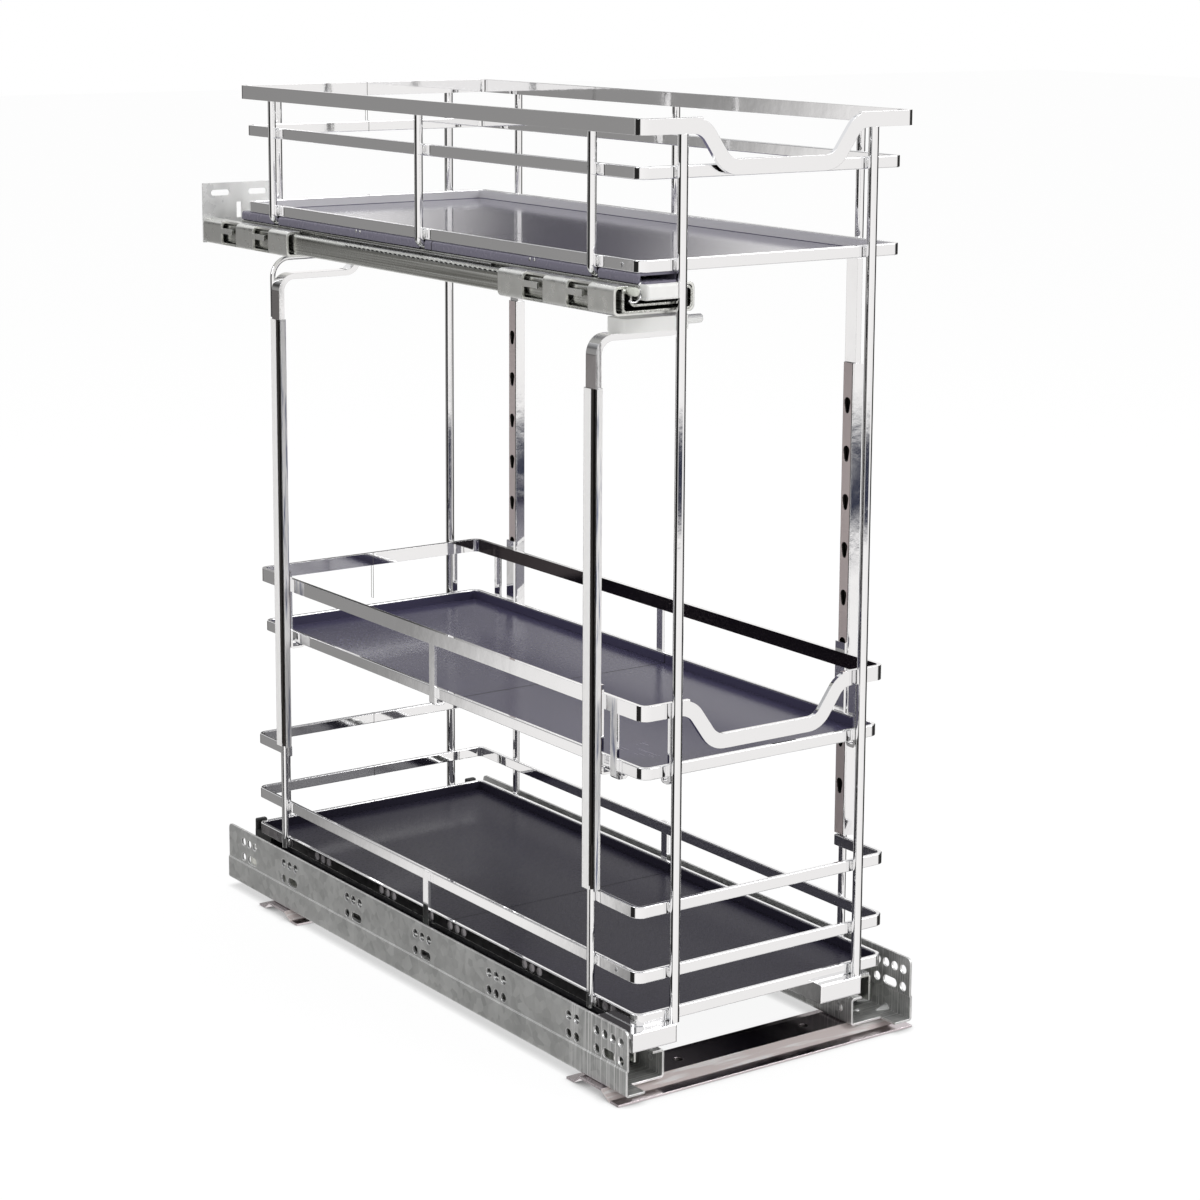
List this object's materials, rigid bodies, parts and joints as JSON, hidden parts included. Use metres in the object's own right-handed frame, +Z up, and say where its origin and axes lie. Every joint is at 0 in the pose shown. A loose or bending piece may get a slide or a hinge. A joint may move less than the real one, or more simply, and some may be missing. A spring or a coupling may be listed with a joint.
{
  "type": "base cabinet pull-out",
  "caption": "Narrow kitchen base cabinet pull-out: chromed bar baskets with metal trays on posts, carried by telescopic ball slides below and one under the top basket.",
  "frame": {"origin": "middle of the footprint, on the floor under the cross members", "axes": "+Z up, -Y is the front that pulls out, +X is the right side seen from the front"},
  "size_m": [0.248, 0.5584, 0.628],
  "materials": {
    "galvanised": "galvanised, faintly mottled",
    "zinc": "zinc plated, satin",
    "chrome": "bright chrome plate",
    "tray_steel": "grey satin lacquer",
    "black_plastic": "moulded, matt",
    "white_plastic": "moulded, smooth",
    "cage": "bright steel strip and balls"
  },
  "bodies": {
    "base": {"cabinet_rail_left": "galvanised", "cabinet_rail_right": "galvanised", "front_cross_member": "galvanised", "rear_cross_member": "galvanised", "base_rivets": "galvanised", "top_clamp_front": "zinc", "top_clamp_rear": "zinc", "rear_wall_bracket": "zinc", "top_slide_outer": "zinc"},
    "middle_left": {"middle_rail_left": "zinc"},
    "middle_right": {"middle_rail_right": "zinc"},
    "middle_top": {"top_slide_middle": "zinc"},
    "outer_cage_left": {"outer_cage_left": "cage"},
    "outer_cage_right": {"outer_cage_right": "cage"},
    "outer_cage_top": {"outer_cage_top": "cage"},
    "inner_cage_left": {"inner_cage_left": "cage"},
    "inner_cage_right": {"inner_cage_right": "cage"},
    "inner_cage_top": {"inner_cage_top": "cage"},
    "carriage": {"drawer_rail_left": "zinc", "drawer_rail_right": "zinc", "top_slide_inner": "zinc", "front_bracket_left": "chrome", "front_bracket_right": "chrome", "rear_catch_left": "black_plastic", "rear_catch_right": "black_plastic", "post_front_left": "chrome", "post_front_right": "chrome", "post_rear_right": "chrome", "post_rear_left_lower": "chrome", "post_rear_left_upper": "chrome", "standard_front_left": "chrome", "standard_front_right": "chrome", "standard_rear_left": "chrome", "standard_rear_right": "chrome", "carrier_front_left": "chrome", "carrier_front_right": "chrome", "carrier_rear_left": "chrome", "carrier_rear_right": "chrome", "arm_block": "chrome", "rear_arm_brace": "chrome", "bottom_tray_rim": "chrome", "bottom_tray": "tray_steel", "bottom_middle_rail": "chrome", "bottom_front_rail": "chrome", "bottom_rear_rail": "chrome", "bottom_side_straps": "chrome", "top_rim": "chrome", "top_middle_rail": "chrome", "top_tray_rim": "chrome", "top_tray": "tray_steel", "top_side_wires": "chrome", "mounting_plate": "zinc", "mounting_plate_screws": "zinc", "slide_bumper": "white_plastic"},
    "middle_basket": {"middle_rim": "chrome", "middle_tray_rim": "chrome", "middle_tray": "tray_steel", "middle_straps": "chrome", "middle_hangers": "chrome"}
  },
  "joints": [
    {"name": "pull_out", "type": "slide", "parent": "base", "child": "carriage", "axis": [0, -1, 0], "range_m": [0, 0.45]},
    {"name": "middle_slide_left", "type": "slide", "parent": "base", "child": "middle_left", "axis": [0, -1, 0], "range_m": [0, 0.225]},
    {"name": "outer_balls_left", "type": "slide", "parent": "base", "child": "outer_cage_left", "axis": [0, -1, 0], "range_m": [0, 0.1125]},
    {"name": "inner_balls_left", "type": "slide", "parent": "base", "child": "inner_cage_left", "axis": [0, -1, 0], "range_m": [0, 0.3375]},
    {"name": "middle_slide_right", "type": "slide", "parent": "base", "child": "middle_right", "axis": [0, -1, 0], "range_m": [0, 0.225]},
    {"name": "outer_balls_right", "type": "slide", "parent": "base", "child": "outer_cage_right", "axis": [0, -1, 0], "range_m": [0, 0.1125]},
    {"name": "inner_balls_right", "type": "slide", "parent": "base", "child": "inner_cage_right", "axis": [0, -1, 0], "range_m": [0, 0.3375]},
    {"name": "middle_slide_top", "type": "slide", "parent": "base", "child": "middle_top", "axis": [0, -1, 0], "range_m": [0, 0.225]},
    {"name": "outer_balls_top", "type": "slide", "parent": "base", "child": "outer_cage_top", "axis": [0, -1, 0], "range_m": [0, 0.1125]},
    {"name": "inner_balls_top", "type": "slide", "parent": "base", "child": "inner_cage_top", "axis": [0, -1, 0], "range_m": [0, 0.3375]},
    {"name": "basket_lift", "type": "slide", "parent": "carriage", "child": "middle_basket", "axis": [0, 0, 1], "range_m": [0, 0.0055]}
  ],
  "couplings": [
    {"joint": "middle_slide_left", "follows": "pull_out", "ratio": 0.5},
    {"joint": "outer_balls_left", "follows": "pull_out", "ratio": 0.25},
    {"joint": "inner_balls_left", "follows": "pull_out", "ratio": 0.75},
    {"joint": "middle_slide_right", "follows": "pull_out", "ratio": 0.5},
    {"joint": "outer_balls_right", "follows": "pull_out", "ratio": 0.25},
    {"joint": "inner_balls_right", "follows": "pull_out", "ratio": 0.75},
    {"joint": "middle_slide_top", "follows": "pull_out", "ratio": 0.5},
    {"joint": "outer_balls_top", "follows": "pull_out", "ratio": 0.25},
    {"joint": "inner_balls_top", "follows": "pull_out", "ratio": 0.75}
  ]
}
